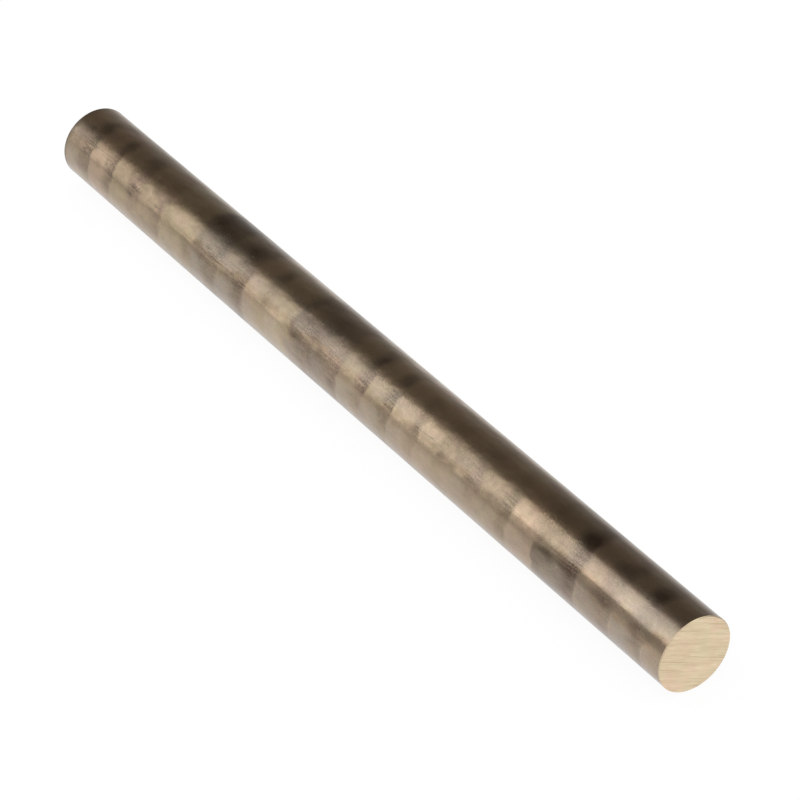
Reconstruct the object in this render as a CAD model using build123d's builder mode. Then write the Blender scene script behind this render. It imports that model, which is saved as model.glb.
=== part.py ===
"""Round bronze bar: one solid of plain stock, sawn off square at both ends and filed lightly round the rims."""

import os

from build123d import *

# Driving dimensions, in millimetres.
bar_diameter = 25.4  # one-inch stock
bar_length = 330.2  # thirteen inches, from one sawn face to the other
edge_break = 0.3  # bevel left where the saw burr was filed off

# The bar lies along X with its middle over the origin, and rests on the plane Z = 0.
bar_radius = bar_diameter / 2
middle_section = Plane(origin=(0, 0, bar_radius), x_dir=(0, 1, 0), z_dir=(1, 0, 0))

with BuildPart() as round_bar:
    with BuildSketch(middle_section) as section:
        Circle(bar_radius)
    extrude(amount=bar_length / 2, both=True)

    sawn_rims = round_bar.edges().filter_by(GeomType.CIRCLE).sort_by(Axis.X)
    chamfer(sawn_rims, length=edge_break)

round_bar.part.label = "round_bar"

os.makedirs("parts", exist_ok=True)
export_step(round_bar.part, "parts/round_bar.step")
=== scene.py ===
"""Dresses the round bronze bar: a finer mesh, ringed tarnish and sawn ends, on a white table."""

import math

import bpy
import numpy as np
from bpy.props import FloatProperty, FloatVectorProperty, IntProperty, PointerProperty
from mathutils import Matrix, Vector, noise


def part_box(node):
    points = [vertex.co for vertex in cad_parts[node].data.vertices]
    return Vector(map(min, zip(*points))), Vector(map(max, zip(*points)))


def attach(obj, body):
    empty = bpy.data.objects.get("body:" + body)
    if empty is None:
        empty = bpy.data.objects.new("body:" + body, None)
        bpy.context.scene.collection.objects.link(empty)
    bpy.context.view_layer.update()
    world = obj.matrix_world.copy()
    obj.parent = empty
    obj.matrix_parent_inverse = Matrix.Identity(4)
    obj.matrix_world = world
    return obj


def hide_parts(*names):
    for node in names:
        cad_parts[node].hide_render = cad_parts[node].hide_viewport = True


bl_info = {
    "name": "Round Bronze Bar",
    "version": (1, 0, 0),
    "blender": (4, 5, 0),
    "location": "3D View > Sidebar > Bronze Bar",
    "description": "Builds a length of round bronze stock with a ringed, tarnished skin",
    "category": "Add Mesh",
}

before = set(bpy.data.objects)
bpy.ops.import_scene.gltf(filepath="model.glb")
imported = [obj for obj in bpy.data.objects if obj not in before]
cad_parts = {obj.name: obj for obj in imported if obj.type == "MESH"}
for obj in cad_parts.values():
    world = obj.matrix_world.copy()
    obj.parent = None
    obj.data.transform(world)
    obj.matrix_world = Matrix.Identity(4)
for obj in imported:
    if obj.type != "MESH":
        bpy.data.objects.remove(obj)  # the import's empties; the plain bar, which the new one lies inside, is kept and hidden

MM = 0.001
BAR_LOW, BAR_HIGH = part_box("round_bar")
BAR_LENGTH = BAR_HIGH.x - BAR_LOW.x
BAR_RADIUS = (BAR_HIGH.z - BAR_LOW.z) / 2
BAR_AXIS_HEIGHT = (BAR_HIGH.z + BAR_LOW.z) / 2
FRONT_FACE = BAR_HIGH.x / MM  # where the front face lies along the bar, in millimetres

WHITE = (1.0, 1.0, 1.0)
BLACK = (0.0, 0.0, 0.0)
FILL = (0.8, 0.8, 0.8)  # the plain level of light that the surroundings give
RIM_TINT = (0.83, 0.83, 0.85)  # how much of the light the skin gives back at a glancing angle
COOL_DUSK = (0.97, 0.98, 1.0)  # the tint of the dome's dark part near the table
WARM_DUSK = (1.0, 0.89, 0.76)  # its tint high up

# Three strips run along the bar, this many degrees round from the top, towards the front side.
CROWN, SHOULDER, FLANK = 4.0, 40.0, 82.0

# The rings that each pull of the casting line left round the bar, from the front end back. Each has
# where it starts (mm behind the front face), how far its dull start reaches (mm), how soft its edge
# is on the shoulder and on the flank (mm), the tarnish of its dull start and of its body (0 bright,
# 1 black) on each strip, and the warmth of both (0 olive, 1 salmon).
RING_COLUMNS = (
    "start", "reach", "shoulder_edge", "flank_edge", "crown_dull", "crown_body", "shoulder_dull",
    "shoulder_body", "flank_dull", "flank_body", "warmth_dull", "warmth_body",
)
RINGS = (
    (0.0, 8.0, 1.0, 1.0, 0.28, 0.28, 0.38, 0.42, 0.38, 0.22, 0.75, 0.65),
    (9.0, 6.0, 1.5, 0.3, 0.78, 0.30, 0.42, 0.12, 0.58, 0.36, 0.85, 0.75),
    (24.0, 7.5, 3.0, 0.4, 0.70, 0.30, 0.42, 0.32, 0.62, 0.44, 0.90, 0.85),
    (41.0, 7.0, 1.6, 0.6, 0.86, 0.46, 0.68, 0.46, 0.73, 0.65, 0.85, 0.60),
    (62.0, 2.0, 2.5, 0.2, 0.32, 0.28, 0.28, 0.14, 0.30, 0.24, 0.85, 0.90),
    (74.5, 6.0, 1.2, 1.0, 0.30, 0.10, 0.62, 0.42, 0.48, 0.28, 0.38, 0.50),
    (91.0, 7.0, 2.5, 2.0, 0.30, 0.12, 0.58, 0.46, 0.38, 0.22, 0.80, 0.55),
    (107.0, 6.5, 3.0, 2.5, 0.36, 0.12, 0.56, 0.06, 0.32, 0.26, 0.50, 0.70),
    (122.5, 5.0, 0.8, 0.5, 0.34, 0.00, 0.46, 0.18, 0.44, 0.22, 0.70, 0.60),
    (136.3, 5.0, 0.3, 0.6, 0.60, 0.00, 0.70, 0.36, 0.54, 0.32, 0.50, 0.50),
    (150.5, 5.5, 0.7, 1.2, 0.66, 0.24, 0.73, 0.42, 0.46, 0.30, 0.80, 0.40),
    (164.5, 8.0, 1.2, 0.4, 0.50, 0.54, 0.54, 0.73, 0.58, 0.58, 0.90, 0.70),
    (179.0, 8.0, 2.5, 3.0, 0.54, 0.48, 0.77, 0.81, 0.68, 0.54, 0.70, 0.70),
    (192.5, 5.0, 2.2, 3.0, 0.28, 0.14, 0.46, 0.35, 0.18, 0.00, 0.30, 0.40),
    (205.0, 5.0, 2.0, 1.0, 0.58, 0.06, 0.50, 0.32, 0.20, 0.24, 0.30, 0.75),
    (219.0, 7.0, 0.9, 2.0, 0.52, 0.46, 0.64, 0.60, 0.72, 0.46, 0.60, 0.50),
    (234.0, 9.0, 2.0, 1.5, 0.80, 0.75, 0.80, 0.70, 0.70, 0.52, 0.50, 0.60),
    (250.0, 6.0, 1.5, 2.5, 0.38, 0.12, 0.38, 0.37, 0.52, 0.32, 0.30, 0.20),
    (269.0, 5.0, 0.8, 1.5, 0.38, 0.20, 0.53, 0.54, 0.56, 0.40, 0.70, 0.50),
    (284.0, 6.0, 2.0, 1.0, 0.58, 0.28, 0.67, 0.38, 0.40, 0.32, 0.75, 0.40),
    (300.0, 4.5, 0.5, 0.7, 0.48, 0.20, 0.73, 0.39, 0.58, 0.26, 0.70, 0.90),
    (314.6, 6.0, 0.7, 0.5, 0.52, 0.00, 0.78, 0.63, 0.62, 0.34, 0.60, 0.60),
)
# The greyish bloom over the film: mm behind the front face, and how strong it is there.
HAZE = (
    (0, 1.5), (20, 1.5), (30, 0.9), (38, 0.8), (45, 1.0), (60, 0.4), (90, 0.5), (98, 0.8),
    (106, 0.4), (120, 0.5), (130, 0.8), (170, 1.0), (190, 1.0), (200, 0.6), (215, 0.9), (230, 1.2),
    (248, 1.1), (253, 0.5), (280, 0.1), (312, 0.1), (320, 0.6), (330, 0.8),
)
# How hard the skin was rubbed slantwise between the crown and the shoulder: mm behind the front
# face, and how much.
RUBBED = (
    (0, 0.2), (40, 0.3), (48, 1.0), (62, 0.9), (68, 0.3), (98, 0.4), (120, 0.3), (124, 0.8),
    (132, 0.4), (137, 1.0), (147, 0.9), (160, 0.4), (170, 0.6), (190, 0.7), (200, 0.4), (245, 0.3),
    (252, 0.7), (262, 0.3), (285, 0.6), (296, 0.6), (302, 0.3), (314, 0.6), (330, 0.5),
)
# Single stains on top of the rings: mm behind the front face, degrees round from the top, half the
# length (mm), half the height (degrees), and how much it adds to the tarnish. Worn places take some
# away.
STAINS = (
    (12.5, 12.0, 3.0, 14.0, 0.20),
    (12.5, 62.0, 4.0, 8.0, 0.15),
    (29.0, 62.0, 4.0, 8.0, 0.25),
    (45.0, 14.0, 3.0, 16.0, 0.20),
    (45.0, 62.0, 4.0, 9.0, 0.20),
    (57.0, 66.0, 4.5, 14.0, 0.20),
    (119.0, 50.0, 2.0, 7.0, 0.20),
    (153.0, 8.0, 3.5, 16.0, 0.15),
    (168.0, 88.0, 3.0, 12.0, 0.20),
    (191.5, 8.0, 1.5, 18.0, 0.20),
    (226.0, 7.0, 3.5, 18.0, 0.35),
    (246.0, 4.0, 3.0, 18.0, 0.20),
    (302.5, 14.0, 2.5, 18.0, 0.20),
    (318.0, 12.0, 3.0, 18.0, 0.15),
    (330.2, 60.0, 1.4, 70.0, 0.60),
    (10.0, 30.0, 14.0, 5.0, 0.14),
    (32.0, 30.0, 10.0, 5.0, 0.10),
    (20.0, 62.0, 10.0, 4.0, 0.08),
    (45.5, 40.0, 2.5, 8.0, 0.12),
    (54.0, 53.0, 6.0, 7.0, 0.14),
    (60.5, 92.0, 3.0, 9.0, 0.10),
    (78.0, 43.0, 6.0, 6.0, 0.12),
    (78.0, 92.0, 7.0, 9.0, 0.07),
    (84.0, 96.0, 16.0, 14.0, 0.08),
    (100.0, 63.0, 4.0, 7.0, 0.12),
    (115.0, 52.0, 3.0, 6.0, 0.10),
    (126.0, 53.0, 8.0, 8.0, 0.13),
    (164.0, 56.0, 4.0, 9.0, 0.10),
    (237.0, 25.0, 5.0, 6.0, 0.15),
    (266.0, 56.0, 22.0, 8.0, 0.10),
    (8.5, 78.0, 4.0, 7.0, -0.09),
    (62.0, 21.0, 26.0, 7.0, -0.14),
    (81.0, 60.0, 9.0, 4.0, -0.10),
    (106.0, 53.0, 5.0, 6.0, -0.15),
    (140.0, 24.0, 12.0, 6.0, -0.14),
    (182.0, 54.0, 7.0, 7.0, -0.22),
    (237.0, 60.0, 6.0, 5.0, -0.20),
    (170.0, -33.0, 8.0, 12.0, -0.15),
    (290.0, 21.0, 32.0, 7.0, -0.12),
    (299.0, -34.0, 8.0, 10.0, -0.14),
    (180.0, 104.0, 26.0, 9.0, -0.12),
    (245.0, 104.0, 22.0, 8.0, -0.10),
)
# Long scratches and short pits, and last two painted highlights: light lines along the edges of the
# rings at 9 and 24 mm, on the flank. For each: where it starts and ends (mm behind the front face),
# where round the bar it starts and ends, half its width (degrees), and how much lighter or darker
# it makes the metal.
SCRATCHES_AND_EDGE_HIGHLIGHTS = (
    (42.0, 47.5, 43.0, 43.5, 0.9, 0.34),
    (42.0, 60.5, 57.5, 61.0, 0.8, -0.22),
    (46.0, 57.0, 55.5, 58.0, 0.7, 0.34),
    (112.5, 127.0, 46.5, 50.5, 0.9, -0.22),
    (115.5, 118.0, 46.5, 47.0, 1.8, -0.30),
    (122.5, 125.5, 49.0, 50.0, 2.0, -0.28),
    (136.5, 142.0, 51.5, 52.0, 0.9, 0.36),
    (151.0, 156.5, 49.5, 50.0, 0.8, -0.25),
    (151.5, 157.0, 52.0, 52.5, 0.7, 0.22),
    (163.0, 186.0, 52.5, 54.5, 0.8, 0.30),
    (165.0, 182.0, 56.0, 57.5, 0.8, -0.20),
    (205.0, 262.0, 58.0, 55.5, 0.7, -0.24),
    (218.0, 233.0, 50.5, 52.0, 0.8, 0.36),
    (221.0, 246.0, 54.0, 53.0, 0.8, 0.34),
    (223.8, 226.2, 17.0, 17.5, 2.0, 1.10),
    (15.2, 17.2, 23.0, 23.5, 1.4, -0.50),
    (17.0, 20.0, 20.0, 21.0, 1.2, 0.35),
    (299.5, 327.0, 41.5, 43.0, 0.7, -0.25),
    (300.5, 306.0, 44.0, 44.5, 0.6, 0.16),
    (47.0, 50.0, 66.5, 67.0, 0.9, 0.30),
    (48.5, 51.0, 70.5, 72.0, 0.9, 0.34),
    (49.5, 52.5, 74.5, 76.0, 0.9, 0.34),
    (50.5, 53.0, 78.5, 80.0, 0.9, 0.30),
    (39.0, 41.0, 74.0, 94.0, 4.0, 0.20),
    # Painted highlights: light lines along the edges of the rings at 9 and 24 mm, on the flank.
    (8.0, 9.0, 72.0, 98.0, 12.0, 0.14),
    (22.8, 24.0, 74.0, 98.0, 12.0, 0.14),
)


# ---------------------------------------------------------------- shader helpers


class Signal:
    """A value in a shader. Arithmetic on it adds the Math nodes that work the expression out."""

    def __init__(self, sheet, socket):
        self.sheet = sheet
        self.socket = socket

    def math(self, operation, *terms):
        """The result of one Math node."""
        return self.sheet.node("Math", {"operation": operation}, dict(enumerate(terms)))

    def __add__(self, other):
        return self.math("ADD", self, other)

    def __sub__(self, other):
        return self.math("SUBTRACT", self, other)

    def __rsub__(self, other):
        return self.math("SUBTRACT", other, self)

    def __mul__(self, other):
        return self.math("MULTIPLY", self, other)

    def __truediv__(self, other):
        return self.math("DIVIDE", self, other)

    def __pow__(self, other):
        return self.math("POWER", self, other)

    __radd__ = __add__
    __rmul__ = __mul__

    def __abs__(self):
        return self.math("ABSOLUTE", self)

    def limited(self):
        """The value held between 0 and 1."""
        return self.math("MINIMUM", self.math("MAXIMUM", self, 0.0), 1.0)


class NodeSheet:
    """Fills one node tree, of a material or of the world."""

    def __init__(self, owner):
        owner.use_nodes = True
        self.tree = owner.node_tree
        self.tree.nodes.clear()

    def node(self, kind, settings=None, sockets=None, output=0):
        """Adds a node with these settings and these values or links. Gives one of its outputs."""
        made = self.tree.nodes.new("ShaderNode" + kind)
        for name, value in (settings or {}).items():
            if name == "stops":
                self.fill_ramp(made.color_ramp, value)
            else:
                setattr(made, name, value)
        for name, value in (sockets or {}).items():
            if isinstance(value, Signal):
                self.tree.links.new(value.socket, made.inputs[name])
            else:
                made.inputs[name].default_value = value
        return Signal(self, made.outputs[output]) if made.outputs else made

    def fill_ramp(self, ramp, stops):
        """Gives a ramp its stops, each a position and a colour."""
        while len(ramp.elements) < len(stops):
            ramp.elements.new(1.0)
        for element, (position, colour) in zip(ramp.elements, stops):
            element.position = position
            element.color = (*colour[:3], 1.0)

    def mix(self, share, first, second):
        """A colour between two: the first at share 0, the second at share 1."""
        sockets = {0: share, 6: opaque(first), 7: opaque(second)}
        return self.node("Mix", {"data_type": "RGBA"}, sockets, output=2)

    def times(self, first, second):
        """One colour tinted by another, or one vector stretched by another."""
        return self.node("VectorMath", {"operation": "MULTIPLY"}, {0: first, 1: second})

    def scaled(self, colour, level):
        """A colour made lighter or darker."""
        return self.node("VectorMath", {"operation": "SCALE"}, {0: colour, "Scale": level})

    def turned(self, vector, axis, angle):
        """A vector turned by an angle about one axis."""
        sockets = {"Vector": vector, "Angle": angle}
        return self.node("VectorRotate", {"rotation_type": axis}, sockets)

    def axes(self, vector):
        """The three parts of a vector."""
        return [self.node("SeparateXYZ", None, {0: vector}, axis) for axis in "XYZ"]

    def attribute(self, name):
        """A value that is stored at the points of the mesh."""
        return self.node("Attribute", {"attribute_name": name}, output="Fac")

    def step(self, value, low, high):
        """0 at low and 1 at high, with a smooth change between them. Low may be the greater."""
        sockets = {"Value": value, "From Min": low, "From Max": high}
        return self.node("MapRange", {"interpolation_type": "SMOOTHSTEP"}, sockets)

    def place(self, stretch=(1.0, 1.0, 1.0)):
        """The point on the object in millimetres, times the stretch along each axis."""
        here = self.node("TexCoord", output="Object")
        return self.times(here, tuple(s / MM for s in stretch))

    def noise(self, where, size, detail=1.0, twist=0.0):
        """A smooth random value about 0.5, with lumps of about this size."""
        sockets = {"Vector": where, "Scale": 1.0 / size, "Detail": detail, "Distortion": twist}
        return self.node("TexNoise", None, sockets)


def opaque(colour):
    """A colour with its alpha, where it is given as plain numbers."""
    return colour if isinstance(colour, Signal) else (*colour[:3], 1.0)


# ---------------------------------------------------------------- finishes


def tarnished_skin(skin):
    """Bronze with years of handling: ringed brown tarnish, clouded, speckled and scratched."""
    material = bpy.data.materials.new("tarnished_skin")
    sheet = NodeSheet(material)
    where = sheet.place()
    film = sheet.attribute("tarnish")
    warmth = sheet.attribute("warmth")
    drawn = sheet.attribute("drawn")
    rubbed = sheet.attribute("rubbed")

    clouds = sheet.noise(sheet.place((0.7, 1.0, 1.0)), size=6.0, twist=0.6)
    blots = sheet.noise(where, size=2.0, twist=0.4)
    specks = sheet.noise(where, size=0.42)
    streaks = sheet.noise(sheet.place((0.08, 1.0, 1.0)), size=0.5)
    slanted = sheet.turned(where, "Z_AXIS", skin.rub_slant)
    rubs = sheet.noise(sheet.times(slanted, (1.0, 0.3, 0.3)), size=0.45)
    warm_patches = sheet.noise(where, size=9.0)
    film = film + (clouds - 0.5) * skin.cloud_strength + (blots - 0.5) * skin.blot_strength
    film = film.limited()
    warmth = (warmth + (warm_patches - 0.5) * skin.warmth_strength).limited()

    # The film goes from bright to black on an olive ramp and a salmon one. A bloom lies over both.
    olive = sheet.node("ValToRGB", {"stops": (
        (0.0, skin.straw), (0.35, skin.olive_tan), (0.65, skin.olive), (1.0, skin.olive_black),
    )}, {"Fac": film})
    salmon = sheet.node("ValToRGB", {"stops": (
        (0.0, skin.salmon), (0.35, skin.rose_tan), (0.65, skin.mauve), (1.0, skin.brown_black),
    )}, {"Fac": film})
    haze = sheet.attribute("haze") * (0.6 + clouds * 0.8)
    bloom = (haze * skin.haze_strength).limited()
    colour = sheet.mix(bloom, sheet.mix(warmth, olive, salmon), skin.pale_haze)

    # Specks, drawn lines, rubs, scratches and two painted highlights on ring edges only make the
    # metal lighter or darker. Small patches lean to pink or green.
    speck_marks = (specks - 0.5) * (0.34 + drawn * 1.6)
    streak_marks = (streaks - 0.5) * (0.14 + drawn * skin.mark_strength)
    rub_marks = (rubs - 0.5) * rubbed * 0.9
    marks = speck_marks + streak_marks + rub_marks + scratches_and_edge_highlights(sheet, where)
    patches = sheet.step(sheet.noise(where, size=3.2, detail=0.0), 0.3, 0.7)
    colour = sheet.times(colour, sheet.mix(patches, skin.pink_cast, skin.green_cast))
    colour = sheet.scaled(colour, 1.0 + marks)

    # The front end is smoother than the rest, from handling.
    along, _, _ = sheet.axes(where)
    handled = sheet.step(along, FRONT_FACE - 100.0, FRONT_FACE - 35.0)
    roughness = skin.skin_roughness + film * 0.08 + (blots - 0.5) * 0.10 - handled * 0.06

    # Broad waves bend the reflections; streaks and specks break up their edges.
    waves = sheet.noise(sheet.place((0.5, 1.0, 1.0)), size=5.0) * (1.0 - handled * 0.6)
    bend = sheet.node("Bump", None, {
        "Strength": 1.0, "Distance": skin.wave_height, "Height": waves,
    })
    relief = streaks * (0.35 + drawn * 1.8) + specks * (0.5 + drawn * 1.5) + rubs * rubbed * 4.0
    bump = sheet.node("Bump", None, {
        "Strength": skin.bump_strength, "Distance": skin.mark_depth, "Height": relief,
        "Normal": bend,
    })
    shader = sheet.node("BsdfPrincipled", None, {
        "Base Color": colour, "Metallic": 1.0, "Roughness": roughness, "Normal": bump,
        "Coat Weight": skin.coat_weight, "Coat Roughness": 0.3, "Specular Tint": opaque(RIM_TINT),
    })
    sheet.node("OutputMaterial", None, {"Surface": shader})
    return material


def scratches_and_edge_highlights(sheet, where):
    """How much lighter or darker the scratches and the painted edge highlights make each point."""
    along, across, height = sheet.axes(where)
    back = FRONT_FACE - along
    above_axis = height - BAR_AXIS_HEIGHT / MM
    turn = across.math("ARCTAN2", across * -1.0, above_axis) * math.degrees(1.0)
    # A slow wobble keeps the scratches and painted highlights from being ruler-straight.
    turn = turn + (sheet.noise(where, size=7.0) - 0.5) * 3.0
    longest_taper = 4.0  # mm
    total = 0.0
    for start, end, start_turn, end_turn, half_width, change in SCRATCHES_AND_EDGE_HIGHLIGHTS:
        slope = (end_turn - start_turn) / (end - start)
        off = turn - (back - start) * slope - start_turn
        line = sheet.step(abs(off), half_width, 0.0)
        taper = min(longest_taper, (end - start) / 2)
        reach = sheet.step(back, start, start + taper) * sheet.step(back, end, end - taper)
        total = line * reach * change + total
    return total


def sawn_bronze(cut):
    """Fresh bronze off the saw: pale gold, combed with straight, slightly uneven lines."""
    material = bpy.data.materials.new("sawn_bronze")
    sheet = NodeSheet(material)
    level = sheet.turned(sheet.node("TexCoord", output="Object"), "X_AXIS", -cut.saw_line_tilt)

    def lines(length, width):
        """Random lines of this length and width, in millimetres, along the saw's way."""
        scale = (1.0 / (length * MM), 1.0 / (length * MM), 1.0 / (width * MM))
        own_part = (length, width * 10.0, 0.0)  # so that no two sizes of line share their noise
        sockets = {0: sheet.times(level, scale), 1: own_part}
        where = sheet.node("VectorMath", {"operation": "ADD"}, sockets)
        return sheet.noise(where, size=1.0)

    broad = lines(12.0, 1.6)
    fine = lines(16.0, 0.18) * 0.80 + lines(3.0, 0.18) * 0.50 - 0.15
    cuts = sheet.step(lines(18.0, 0.24), 0.59, 0.65)
    # The glints are painted highlights: light lines that lighten the colour.
    glints = sheet.step(lines(5.0, 0.26), 0.62, 0.70)
    tint = lines(6.0, 4.0)
    shade = 0.42 + (broad - 0.5) * 0.8 + (fine - 0.5) * 0.8 + cuts * 0.45 - glints * 0.35
    pale = sheet.mix(sheet.step(tint, 0.3, 0.7), cut.cut_gold, cut.cut_rose)
    bump = sheet.node("Bump", None, {
        "Strength": 0.5, "Distance": 0.03 * MM, "Height": fine * 0.6 + broad * 0.4,
    })
    shader = sheet.node("BsdfPrincipled", None, {
        "Base Color": sheet.mix(shade.limited(), pale, cut.cut_shade), "Metallic": 1.0,
        "Roughness": cut.cut_roughness + (fine - 0.5) * 0.2, "Normal": bump,
    })
    sheet.node("OutputMaterial", None, {"Surface": shader})
    return material


# ---------------------------------------------------------------- the bar's mesh


def smooth_noise(points, size, seed):
    """Smooth noise between -1 and 1 at each point, with lumps of about this size (mm)."""
    shift = Vector((seed * 17.3, seed * 5.1, seed * 9.7))
    return np.array([noise.noise(Vector(p) / size + shift) for p in points])


def eased(value, low, high):
    """0 below low, 1 above high, and a smooth rise between them."""
    share = np.clip((value - low) / (high - low), 0, 1)
    return share * share * (3 - 2 * share)


def ring_shades(back, around, wander, patchy):
    """The skin's shades at points this far back (mm) and this far round (degrees).

    The wander (degrees) moves the strips' edges, and patchiness (0 to 1) softens the rings' edges.
    """
    ring = dict(zip(RING_COLUMNS, np.array(RINGS).T))
    blur = 0.4 + 1.2 * patchy

    def ringed(softness, dull, body, delay=0.0):
        """A shade that takes each ring's dull value at its start and fades into its body's."""
        shade = np.full_like(back, body[0])
        for i, start in enumerate(ring["start"] + delay):
            edge, reach = softness[i] * blur, ring["reach"][i]
            shade += (dull[i] - shade) * eased(back, start - edge, start + edge)
            shade += (body[i] - shade) * eased(back, start + reach * 0.5, start + reach * 1.1 + 2.5)
        return shade

    # On the crown the dull starts are soft ovals that begin a little late.
    crown_edge = np.full(len(RINGS), 2.0)
    crown = ringed(crown_edge, ring["crown_dull"], ring["crown_body"], delay=0.8)
    crown_body = ringed(crown_edge, ring["crown_body"], ring["crown_body"], delay=0.8)
    shoulder = ringed(ring["shoulder_edge"], ring["shoulder_dull"], ring["shoulder_body"])
    flank = ringed(ring["flank_edge"], ring["flank_dull"], ring["flank_body"])
    flank_body = ringed(ring["flank_edge"], ring["flank_body"], ring["flank_body"])
    warmth = ringed(ring["shoulder_edge"], ring["warmth_dull"], ring["warmth_body"])
    dullness = ringed(ring["shoulder_edge"], np.ones(len(RINGS)), np.zeros(len(RINGS)))

    # The dull starts fade down the back of the crown and low on the flank.
    place = around + wander
    crown = crown_body + (crown - crown_body) * (0.2 + 0.8 * eased(place, -22, 6))
    flank = flank_body + (flank - flank_body) * (1 - 0.5 * eased(place, 80, 96))
    tarnish = crown + (shoulder - crown) * eased(place, CROWN + 14, SHOULDER - 8)
    tarnish = tarnish + (flank - tarnish) * eased(place, SHOULDER + 18, FLANK - 15)
    # The underside is a little brighter.
    tarnish = tarnish - 0.14 * eased(around, 88, 112)
    # Down the far side, the rings come round again with the shoulder's shades.
    tarnish = tarnish + (shoulder - tarnish) * eased(-place, 40, 80)
    for stain_back, stain_around, half_length, half_height, added in STAINS:
        off = ((back - stain_back) / half_length) ** 2
        off += ((around - stain_around) / half_height) ** 2
        tarnish = tarnish + added * np.exp(-off)

    # Lines drawn along the bar show where the tarnish is thick, most of all below the shoulder.
    below = np.exp(-(((around - 53.0) / 11.0) ** 2))
    in_reach = 0.35 * eased(place, 14, 28) + 0.65 * below
    drawn = (0.25 + 0.75 * dullness) * eased(tarnish, 0.4, 0.75) * in_reach
    # The bloom is thin on the crown and skips a narrow strip below the shoulder. On the flank it is
    # thin where the rings are dull.
    haze = (0.35 + 0.65 * eased(place, 15, 25)) * eased(-place, -56, -46)
    haze += (1.2 - 0.8 * dullness) * eased(place, 64, 76)
    haze *= np.interp(back, *zip(*HAZE))
    rubbed = np.interp(back, *zip(*RUBBED)) * np.exp(-(((place - 26.0) / 9.0) ** 2))
    return {"tarnish": tarnish, "warmth": warmth, "drawn": drawn, "haze": haze, "rubbed": rubbed}


def nominal_barrel(skin, edge):
    """The barrel's points, ring by ring from the back end, and how far round each is (radians)."""
    half = BAR_LENGTH / 2
    turn = 2 * math.pi * np.arange(skin.steps_round) / skin.steps_round
    x = np.linspace(-half + edge, half - edge, skin.steps_along + 1)
    x, turn = (grid.ravel() for grid in np.meshgrid(x, turn, indexing="ij"))
    return np.stack([x, -BAR_RADIUS * np.sin(turn), BAR_RADIUS * np.cos(turn)], 1), turn


def barrel_shades(barrel, turn):
    """The shades of the skin at the barrel's points. Noise makes their edges lean and wander."""
    points = barrel / MM
    lean = 1.4 * smooth_noise(points, size=14.0, seed=1)
    lean += 1.1 * smooth_noise(points, size=5.0, seed=2)
    lean += 0.5 * smooth_noise(points, size=1.5, seed=4)
    back = (BAR_LENGTH / 2 - barrel[:, 0]) / MM + lean
    around = np.degrees(np.where(turn > math.pi, turn - 2 * math.pi, turn))
    wander = 9.0 * smooth_noise(points, size=8.0, seed=7)
    wander += 5.0 * smooth_noise(points, size=3.0, seed=9)
    patchy = 0.5 + 0.5 * smooth_noise(points, size=6.0, seed=11)
    return ring_shades(back, around, wander, patchy)


def cast_hollows(barrel, edge, wave_depth):
    """The barrel with shallow hollows cut into its cylinder, which fade out at both rims."""
    waves = 0.5 + 0.5 * smooth_noise(barrel / MM, size=9.0, seed=3)
    from_rim = np.clip((BAR_LENGTH / 2 - edge - np.abs(barrel[:, 0])) / (2.0 * MM), 0, 1)
    shrink = 1 - wave_depth * waves * from_rim / BAR_RADIUS
    return barrel * np.stack([np.ones_like(shrink), shrink, shrink], 1)


def tube_faces(around_count, along_count):
    """Quads between each ring of points and the next."""
    faces = []
    for i in range(along_count):
        low, high = i * around_count, (i + 1) * around_count
        for j in range(around_count):
            k = (j + 1) % around_count
            faces.append((low + j, low + k, high + k, high + j))
    return faces


def sawn_end(side, cut, around_count, ring_start, first):
    """The points of one sawn end, numbered on from first, and its faces with the bevel's."""
    # The face is a set of straight rows along the saw lines, every row as long as its chord.
    rows = around_count * cut.rows_per_step // 2
    wide = cut.columns + 1
    half = BAR_LENGTH / 2
    rim_radius = BAR_RADIUS - cut.edge_break
    tilt = cut.saw_line_tilt
    angle = np.linspace(-math.pi / 2, math.pi / 2, rows + 1)[1:-1, None]
    across = (rim_radius * np.cos(angle) * np.linspace(-1, 1, wide)).ravel()
    up = np.repeat(rim_radius * np.sin(angle), wide)

    # The saw's grooves are long lumps of noise, and fade out at the rim.
    end_shift = 50.0 * side  # so that the two ends differ
    stretched = np.stack([across / MM * 0.04, up / MM, np.full_like(up, end_shift)], 1)
    groove = 0.5 + 0.3 * smooth_noise(stretched, size=0.55, seed=5 + side)
    groove += 0.2 * smooth_noise(stretched, size=1.6, seed=8 + side)
    from_rim = np.clip((rim_radius - np.hypot(across, up)) / (0.3 * MM), 0, 1)
    x = side * (half - cut.groove_depth * np.clip(groove, 0, 1) * from_rim)
    y = across * math.cos(tilt) - up * math.sin(tilt)
    z = across * math.sin(tilt) + up * math.cos(tilt)
    poles = np.array([
        [side * half, rim_radius * math.sin(tilt), -rim_radius * math.cos(tilt)],
        [side * half, -rim_radius * math.sin(tilt), rim_radius * math.cos(tilt)],
    ])
    points = np.concatenate([np.stack([x, y, z], 1), poles])

    faces = []
    for r in range(rows - 2):
        for c in range(cut.columns):
            a = first + r * wide + c
            faces.append((a, a + 1, a + wide + 1, a + wide))
    last = first + (rows - 2) * wide
    bottom, top = first + len(points) - 2, first + len(points) - 1
    for c in range(cut.columns):
        faces.append((bottom, first + c + 1, first + c))
        faces.append((last + c, last + c + 1, top))
    # The rim of the face, counted round from its lowest point, joins the barrel through the bevel.
    right = [first + r * wide + cut.columns for r in range(rows - 1)]
    left = [first + r * wide for r in range(rows - 1)]
    rim = [bottom, *right, top, *reversed(left)]
    faces += bevel_faces(rim, ring_start, around_count, tilt)
    if side < 0:
        faces = [tuple(reversed(face)) for face in faces]
    return points, faces


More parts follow.
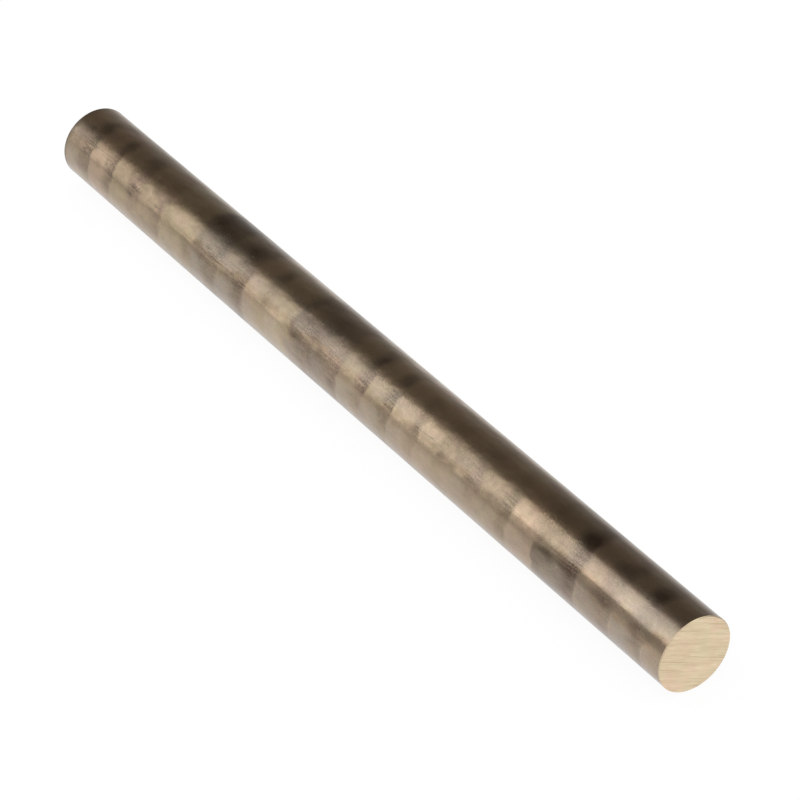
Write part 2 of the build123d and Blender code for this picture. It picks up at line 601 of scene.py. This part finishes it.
def bevel_faces(rim, ring_start, around_count, tilt):
    """Triangles between the rim of a sawn face and the last ring of the barrel."""
    # The rim starts at the face's lowest point along the saw's way and runs anticlockwise, as seen
    # from +X. On the barrel, an angle t from the top towards -Y lies at (-sin t, cos t).
    faces = []
    full_turn = 2 * math.pi
    start_turn = math.atan2(-math.sin(tilt), -math.cos(tilt)) % full_turn

    def nearest(i):
        """The ring's point that lies nearest to this point of the rim."""
        turn = (start_turn + full_turn * i / len(rim)) % full_turn
        return round(turn / full_turn * around_count) % around_count

    for i, a in enumerate(rim):
        b = rim[(i + 1) % len(rim)]
        near_a, near_b = nearest(i), nearest(i + 1)
        faces.append((a, ring_start + near_a, b))
        if near_a != near_b:
            faces.append((b, ring_start + near_a, ring_start + near_b))
    return faces


def crease_rims(mesh, around_count, barrel_points):
    """Marks the barrel's two end rings as sharp edges, so that the bevels keep their own shine."""
    ends = np.empty(len(mesh.edges) * 2, np.int32)
    mesh.edges.foreach_get("vertices", ends)
    ends = ends.reshape(-1, 2)
    back_ring = (ends < around_count).all(1)
    front_ring = ((ends >= barrel_points - around_count) & (ends < barrel_points)).all(1)
    mesh.edges.foreach_set("use_edge_sharp", back_ring | front_ring)


def build_bar(skin, cut):
    """One closed mesh: the barrel, the filed bevels and the two sawn faces."""
    around_count, along_count = skin.steps_round, skin.steps_along
    barrel, turn = nominal_barrel(skin, cut.edge_break)
    parts = [cast_hollows(barrel, cut.edge_break, skin.wave_depth)]
    faces = tube_faces(around_count, along_count)
    skin_faces = len(faces)
    count = len(barrel)
    for side, ring_start in ((-1, 0), (1, along_count * around_count)):
        points, end_faces = sawn_end(side, cut, around_count, ring_start, count)
        parts.append(points)
        faces += end_faces
        count += len(points)

    x_middle = (BAR_HIGH.x + BAR_LOW.x) / 2
    points = np.concatenate(parts) + (x_middle, 0, BAR_AXIS_HEIGHT)
    mesh = bpy.data.meshes.new("bronze_bar")
    mesh.from_pydata(points.tolist(), [], faces)
    bar = bpy.data.objects.new("bronze_bar", mesh)
    bpy.context.collection.objects.link(bar)

    for name, values in barrel_shades(barrel, turn).items():
        padded = np.full(count, 0.3, np.float32)  # the sawn ends don't use these shades
        padded[: len(values)] = values
        mesh.attributes.new(name, "FLOAT", "POINT").data.foreach_set("value", padded)
    mesh.materials.append(tarnished_skin(skin))
    mesh.materials.append(sawn_bronze(cut))
    is_cut = np.arange(len(faces)) >= skin_faces
    mesh.polygons.foreach_set("material_index", is_cut.astype(np.int32))
    mesh.polygons.foreach_set("use_smooth", ~is_cut)
    crease_rims(mesh, around_count, len(barrel))
    mesh.update()
    return bar


# ---------------------------------------------------------------- settings


def linear_level(level):
    """The linear level of light for one sRGB level, both from 0 to 1."""
    return level / 12.92 if level <= 0.04045 else ((level + 0.055) / 1.055) ** 2.4


def colour_property(name, description, srgb):
    """A colour setting. Its default is given in sRGB, from 0 to 255."""
    linear = [linear_level(value / 255) for value in srgb]
    return FloatVectorProperty(
        name=name, description=description, subtype="COLOR", size=3, min=0.0, max=1.0,
        default=linear,
    )


class BronzeSkinSettings(bpy.types.PropertyGroup):
    """The tarnished round of the bar."""

    steps_round: IntProperty(
        name="Steps Round", description="Mesh faces round the bar", default=160, min=32,
    )
    steps_along: IntProperty(
        name="Steps Along", description="Mesh faces along the bar", default=500, min=50,
    )
    wave_depth: FloatProperty(
        name="Wave Depth", description="Deepest hollow of the cast skin",
        default=0.05 * MM, unit="LENGTH",
    )
    wave_height: FloatProperty(
        name="Wave Height", description="Height of the broad waves that bend reflections",
        default=0.25 * MM, unit="LENGTH",
    )
    mark_depth: FloatProperty(
        name="Mark Depth", description="Depth of the fine marks", default=0.02 * MM, unit="LENGTH",
    )
    skin_roughness: FloatProperty(
        name="Skin Roughness", description="Roughness of the brightest skin",
        default=0.2, subtype="FACTOR",
    )
    coat_weight: FloatProperty(
        name="Coat Weight", description="How much clear film lies over the metal",
        default=0.25, subtype="FACTOR",
    )
    bump_strength: FloatProperty(
        name="Bump Strength", description="How strongly the fine marks catch light",
        default=0.6, subtype="FACTOR",
    )
    warmth_strength: FloatProperty(
        name="Warmth Strength", description="How far broad patches lean to olive or to salmon",
        default=0.8, subtype="FACTOR",
    )
    haze_strength: FloatProperty(
        name="Haze Strength", description="How much the greyish bloom covers",
        default=0.32, subtype="FACTOR",
    )
    cloud_strength: FloatProperty(
        name="Cloud Strength", description="How far broad clouds shift the tarnish",
        default=0.48, subtype="FACTOR",
    )
    blot_strength: FloatProperty(
        name="Blot Strength", description="How far small blots shift the tarnish",
        default=0.16, subtype="FACTOR",
    )
    rub_slant: FloatProperty(
        name="Rub Slant", description="Way the rubbed marks run, from round the bar",
        default=math.radians(-45.0), subtype="ANGLE",
    )
    mark_strength: FloatProperty(
        name="Mark Strength", description="How far lines drawn along the bar lighten or darken it",
        default=1.6, subtype="FACTOR",
    )
    straw: colour_property("Straw", "Brightest skin, on its olive side", (187, 171, 143))
    olive_tan: colour_property("Olive Tan", "Light tarnish, on its olive side", (167, 150, 121))
    olive: colour_property("Olive", "Middling tarnish, on its olive side", (135, 121, 96))
    olive_black: colour_property("Olive Black", "Darkest tarnish, on its olive side", (84, 72, 54))
    salmon: colour_property("Salmon", "Brightest skin, on its warm side", (190, 164, 138))
    rose_tan: colour_property("Rose Tan", "Light tarnish, on its warm side", (167, 145, 123))
    mauve: colour_property("Mauve", "Middling tarnish, on its warm side", (137, 117, 101))
    brown_black: colour_property("Brown Black", "Darkest tarnish, on its warm side", (86, 66, 49))
    pale_haze: colour_property("Pale Haze", "Thin greyish bloom over the film", (165, 157, 147))
    pink_cast: colour_property("Pink Cast", "Tint of the pinkish patches", (255, 252, 254))
    green_cast: colour_property("Green Cast", "Tint of the greenish patches", (253, 255, 252))


class BronzeCutSettings(bpy.types.PropertyGroup):
    """The sawn ends and the filed bevels round them."""

    rows_per_step: IntProperty(
        name="Rows Per Step", description="Rim points for each mesh step round", default=4,
    )
    columns: IntProperty(
        name="Columns", description="Mesh faces along a saw line", default=14, min=4,
    )
    edge_break: FloatProperty(
        name="Edge Break", description="Width of the bevel filed on each rim",
        default=0.3 * MM, unit="LENGTH",
    )
    groove_depth: FloatProperty(
        name="Groove Depth", description="Deepest saw line", default=0.06 * MM, unit="LENGTH",
    )
    saw_line_tilt: FloatProperty(
        name="Saw Line Tilt", description="How far the saw lines climb from level",
        default=math.radians(-25.0), subtype="ANGLE",
    )
    cut_roughness: FloatProperty(
        name="Cut Roughness", description="Roughness of the sawn metal",
        default=0.42, subtype="FACTOR",
    )
    cut_gold: colour_property("Cut Gold", "Fresh metal", (234, 220, 187))
    cut_rose: colour_property("Cut Rose", "Fresh metal, on its warm side", (237, 209, 183))
    cut_shade: colour_property("Cut Shade", "Bottom of a saw line", (198, 178, 145))


class BronzeStudioSettings(bpy.types.PropertyGroup):
    """The table, the light and the camera."""

    aim_along: FloatProperty(
        name="Aim Along", description="Where along the bar the camera looks",
        default=17.05 * MM, unit="LENGTH",
    )
    aim_across: FloatProperty(
        name="Aim Across", description="How far behind the bar's axis the camera looks",
        default=0.55 * MM, unit="LENGTH",
    )
    azimuth: FloatProperty(
        name="Azimuth", description="Way round the bar from its front side",
        default=math.radians(55.75), subtype="ANGLE",
    )
    elevation: FloatProperty(
        name="Elevation", description="Height of the camera above the table",
        default=math.radians(35.65), subtype="ANGLE",
    )
    distance: FloatProperty(
        name="Distance", description="From the camera to the bar", default=1.1665, unit="LENGTH",
    )
    lens: FloatProperty(
        name="Lens", description="Focal length in millimetres", default=170.93, unit="CAMERA",
    )
    table_half_width: FloatProperty(
        name="Table Half Width", description="From the bar to the table's edge",
        default=6.0, unit="LENGTH",
    )
    tent_radius: FloatProperty(
        name="Tent Radius", description="Radius of the dark dome over the table",
        default=3.0, unit="LENGTH",
    )
    lamp_size: FloatProperty(
        name="Lamp Size", description="Diameter of the soft lamp", default=1.2, unit="LENGTH",
    )
    lamp_power: FloatProperty(
        name="Lamp Power", description="Power of the soft lamp", default=6.0, unit="POWER",
    )


# ---------------------------------------------------------------- stage


def lit_table(studio):
    """A table that is white to the camera, with a soft shadow, and dimmer in the metal's mirror."""
    half = studio.table_half_width
    mesh = bpy.data.meshes.new("table")
    corners = [(-half, -half, 0), (half, -half, 0), (half, half, 0), (-half, half, 0)]
    mesh.from_pydata(corners, [], [(0, 1, 2, 3)])
    table = bpy.data.objects.new("table", mesh)
    table.location.z = BAR_LOW.z - 0.05 * MM  # just clear of the bar
    bpy.context.collection.objects.link(table)

    material = bpy.data.materials.new("white_table")
    sheet = NodeSheet(material)
    # Most of the white is a glow of its own. The rest is lit, and so takes the shadow.
    shadowed = sheet.node("BsdfDiffuse", None, {"Color": (0.09, 0.09, 0.09, 1.0)})
    glow = sheet.node("Emission", None, {"Strength": 0.93})
    seen = sheet.node("AddShader", None, {0: shadowed, 1: glow})
    shade = sheet.mix(table_dimming(sheet), WHITE, BLACK)
    mirrored = sheet.node("Emission", None, {"Color": shade, "Strength": 1.0})
    camera_ray = sheet.node("LightPath", output="Is Camera Ray")
    shader = sheet.node("MixShader", None, {0: camera_ray, 1: mirrored, 2: seen})
    sheet.node("OutputMaterial", None, {"Surface": shader})
    mesh.materials.append(material)


def table_dimming(sheet):
    """How far below white the metal mirrors each place on the table. Places are in millimetres."""
    along, across, _ = sheet.axes(sheet.place())
    bar_end = (FRONT_FACE - 1.0, FRONT_FACE - 14.0)  # where the dimming round the bar fades out

    # In front, the table dims away from the bar, most where the bar's front end mirrors it.
    forward = across.math("MAXIMUM", across * -1.0, 0.0)
    falloff = 0.34 + sheet.step(along + forward * 0.75, -20.0, 110.0) * 0.34
    in_front = (forward / (forward + 120.0)) ** 1.5 * falloff

    # Behind, it dims least on a slanting line through the middle of the bar, and more further out.
    behind = 0.03 + sheet.step(abs(along + across), 0.0, 150.0) * 0.20
    behind = behind * sheet.step(across, 2.0, 20.0) * sheet.step(along, *bar_end)
    behind = behind + sheet.step(across, 45.0, 140.0) * 0.30

    # Under the bar it lies in the bar's own shade.
    contact = sheet.step(abs(across), 14.0, 0.0) * 0.35 * sheet.step(abs(along), *bar_end)
    return in_front + behind + contact


def dome_mesh(name, radius):
    """A dome of rings of points, whose foot lies a little below the table."""
    rings, sides = 24, 64
    top_ring = math.radians(89.0)
    sink = 0.02
    points = []
    for i in range(rings):
        climb = top_ring * i / (rings - 1)
        for j in range(sides):
            turn = 2 * math.pi * j / sides
            points.append((
                radius * math.cos(climb) * math.cos(turn),
                radius * math.cos(climb) * math.sin(turn),
                radius * math.sin(climb) - sink,
            ))
    points.append((0, 0, radius - sink))
    faces = tube_faces(sides, rings - 1)
    last_ring, top = (rings - 1) * sides, rings * sides
    faces += [(last_ring + j, last_ring + (j + 1) % sides, top) for j in range(sides)]
    mesh = bpy.data.meshes.new(name)
    mesh.from_pydata(points, [], faces)
    return mesh


def dark_tent(studio):
    """A dark dome that only the metal sees, with a lit window on two opposite corners."""
    mesh = dome_mesh("tent", studio.tent_radius)
    tent = bpy.data.objects.new("tent", mesh)
    bpy.context.collection.objects.link(tent)

    material = bpy.data.materials.new("dark_tent")
    sheet = NodeSheet(material)
    emission = sheet.node("Emission", None, {"Color": tent_colour(sheet), "Strength": 1.0})
    sheet.node("OutputMaterial", None, {"Surface": emission})
    mesh.materials.append(material)
    tent.visible_camera = False
    tent.visible_diffuse = False
    tent.visible_transmission = False
    tent.visible_shadow = False


def tent_colour(sheet):
    """The light that the dome gives from each direction, as the bar sees it."""
    here = sheet.node("TexCoord", output="Object")
    way = sheet.node("VectorMath", {"operation": "NORMALIZE"}, {0: here})
    _, _, height = sheet.axes(way)
    to_front = (1.0, 0.0, 0.0)  # the way the bar's front end points

    def beyond(normal, softness, offset=0.0):
        """1 in directions that reach further than the offset along this normal, 0 in others."""
        length = math.sqrt(sum(c * c for c in normal))
        unit = tuple(c / length for c in normal)
        reach = sheet.node("VectorMath", {"operation": "DOT_PRODUCT"}, {0: way, 1: unit}, "Value")
        return sheet.step(reach, offset - softness, offset + softness)

    def window(sign):
        """The lit window, in its place for a sign of 1 and turned half round the bar for -1."""
        # Its edge towards the crown is soft with a wider glow, the one towards the flank is sharp.
        crown_way = (0.389 * sign, -0.847 * sign, 0.183)
        crown_edge = beyond(crown_way, softness=0.09, offset=0.096) * 0.75
        crown_edge = crown_edge + beyond(crown_way, softness=0.24, offset=0.06) * 0.25
        flank_edge = beyond((-1.275 * sign, 0.630 * sign, 0.100), softness=0.012, offset=0.200)
        own_side = beyond((-1.0 * sign, 0.0, 0.0), softness=0.05)
        # Its low corner is cut off.
        below = sheet.step(height, 0.355, 0.285) * 0.92 + sheet.step(height, 0.31, 0.12) * 0.08
        corner = beyond((1.0 * sign, 0.0, 0.0), softness=0.010, offset=-0.629)
        return crown_edge * flank_edge * own_side * (1.0 - corner * below)

    # A round card beyond the front end catches on the filed rim.
    end_card = beyond(to_front, softness=0.03, offset=0.74)
    windows = (window(1.0) + window(-1.0)) * sheet.step(height, 0.0, 0.07)
    light = (windows + end_card).limited()

    # What the bar's front end mirrors is darker near the table, and its window is brighter.
    front = beyond(to_front, softness=0.03, offset=-0.625)
    front = front * (1.0 - beyond(to_front, softness=0.05, offset=-0.45))
    # The window's foot is brighter in the part that the bar's middle mirrors.
    middle = beyond(to_front, softness=0.015, offset=-0.712)
    middle = middle * (1.0 - beyond(to_front, softness=0.01, offset=-0.64))
    foot = middle * sheet.step(height, 0.30, 0.14) * 0.32

    # The dark part glows near the table, most of all on the camera's side.
    facing = beyond((0.516, -0.813, 0.0), softness=0.3)
    low_glow = (1.0 - height * 1.4).limited() ** 1.5
    dark = 0.134 + low_glow * (0.225 + facing * 0.235)
    dark = dark - front * sheet.step(height, 0.30, 0.10) * 0.05
    lit = 0.78 + 0.62 * sheet.step(height, 0.0, 0.18)
    lit = lit * (1.0 + foot + front * (0.40 - sheet.step(height, 0.38, 0.78) * 0.50))
    brightness = dark * (1.0 - light) + light * lit
    dusk = sheet.mix(sheet.step(height, 0.0, 0.7), COOL_DUSK, WARM_DUSK)
    return sheet.scaled(sheet.mix(light, dusk, WHITE), brightness)


def white_surroundings():
    """White for the camera and for mirror rays, and a plain level of light for everything else."""
    world = bpy.data.worlds.new("white_surroundings")
    bpy.context.scene.world = world
    sheet = NodeSheet(world)
    camera = sheet.node("LightPath", output="Is Camera Ray")
    glossy = sheet.node("LightPath", output="Is Glossy Ray")
    through = sheet.node("LightPath", output="Is Transmission Ray")
    shown = (camera + glossy + through).limited()
    shade = sheet.mix(shown, FILL, WHITE)
    background = sheet.node("Background", None, {"Color": shade, "Strength": 1.0})
    sheet.node("OutputWorld", None, {"Surface": background})


def soft_lamp(studio):
    """One broad lamp high on the front side, for the shadow alone."""
    lamp = bpy.data.lights.new("soft_lamp", "AREA")
    lamp.shape = "DISK"
    lamp.size = studio.lamp_size
    lamp.energy = studio.lamp_power
    holder = bpy.data.objects.new("soft_lamp", lamp)
    holder.location = (-0.9, -0.9, 1.5)
    holder.rotation_mode = "QUATERNION"
    holder.rotation_quaternion = (-holder.location).to_track_quat("-Z", "Y")
    holder.visible_glossy = False
    bpy.context.collection.objects.link(holder)


def place_camera(studio):
    """The camera, aimed near the middle of the bar."""
    aim = Vector((studio.aim_along, studio.aim_across, BAR_AXIS_HEIGHT))
    level = math.cos(studio.elevation)
    back = Vector((
        math.sin(studio.azimuth) * level,
        -math.cos(studio.azimuth) * level,
        math.sin(studio.elevation),
    ))
    camera = bpy.data.cameras.new("camera")
    camera.lens = studio.lens
    holder = bpy.data.objects.new("camera", camera)
    holder.location = aim + back * studio.distance
    holder.rotation_mode = "QUATERNION"
    holder.rotation_quaternion = (-back).to_track_quat("-Z", "Y")
    bpy.context.collection.objects.link(holder)
    bpy.context.scene.camera = holder


# ---------------------------------------------------------------- operators and panel


class BRONZE_OT_build_bar(bpy.types.Operator):
    """Build the bar with its tarnished skin and its sawn ends."""

    bl_idname = "bronze.build_bar"
    bl_label = "Build Bar"

    def execute(self, context):
        bar = build_bar(context.scene.bronze_skin, context.scene.bronze_cut)
        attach(bar, "root")
        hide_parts("round_bar")
        return {"FINISHED"}


class BRONZE_OT_build_studio(bpy.types.Operator):
    """Set up the table, the tent, the light and the camera."""

    bl_idname = "bronze.build_studio"
    bl_label = "Build Studio"

    def execute(self, context):
        studio = context.scene.bronze_studio
        context.scene.view_settings.view_transform = "Standard"
        lit_table(studio)
        dark_tent(studio)
        white_surroundings()
        soft_lamp(studio)
        place_camera(studio)
        return {"FINISHED"}


class BRONZE_PT_panel(bpy.types.Panel):
    """The bar's settings and its two building steps."""

    bl_idname = "BRONZE_PT_panel"
    bl_label = "Bronze Bar"
    bl_space_type = "VIEW_3D"
    bl_region_type = "UI"
    bl_category = "Bronze Bar"

    def draw(self, context):
        scene = context.scene
        for title, settings in (
            ("Skin", scene.bronze_skin),
            ("Sawn Ends", scene.bronze_cut),
            ("Studio", scene.bronze_studio),
        ):
            box = self.layout.box()
            box.label(text=title)
            for name in settings.__annotations__:
                box.prop(settings, name)
        self.layout.operator(BRONZE_OT_build_bar.bl_idname)
        self.layout.operator(BRONZE_OT_build_studio.bl_idname)


CLASSES = (
    BronzeSkinSettings,
    BronzeCutSettings,
    BronzeStudioSettings,
    BRONZE_OT_build_bar,
    BRONZE_OT_build_studio,
    BRONZE_PT_panel,
)


def register():
    for cls in CLASSES:
        bpy.utils.register_class(cls)
    bpy.types.Scene.bronze_skin = PointerProperty(type=BronzeSkinSettings)
    bpy.types.Scene.bronze_cut = PointerProperty(type=BronzeCutSettings)
    bpy.types.Scene.bronze_studio = PointerProperty(type=BronzeStudioSettings)


def unregister():
    del bpy.types.Scene.bronze_skin
    del bpy.types.Scene.bronze_cut
    del bpy.types.Scene.bronze_studio
    for cls in reversed(CLASSES):
        bpy.utils.unregister_class(cls)


def main():
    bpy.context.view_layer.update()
    register()
    bpy.ops.bronze.build_bar()
    bpy.ops.bronze.build_studio()


if __name__ == "__main__":
    main()
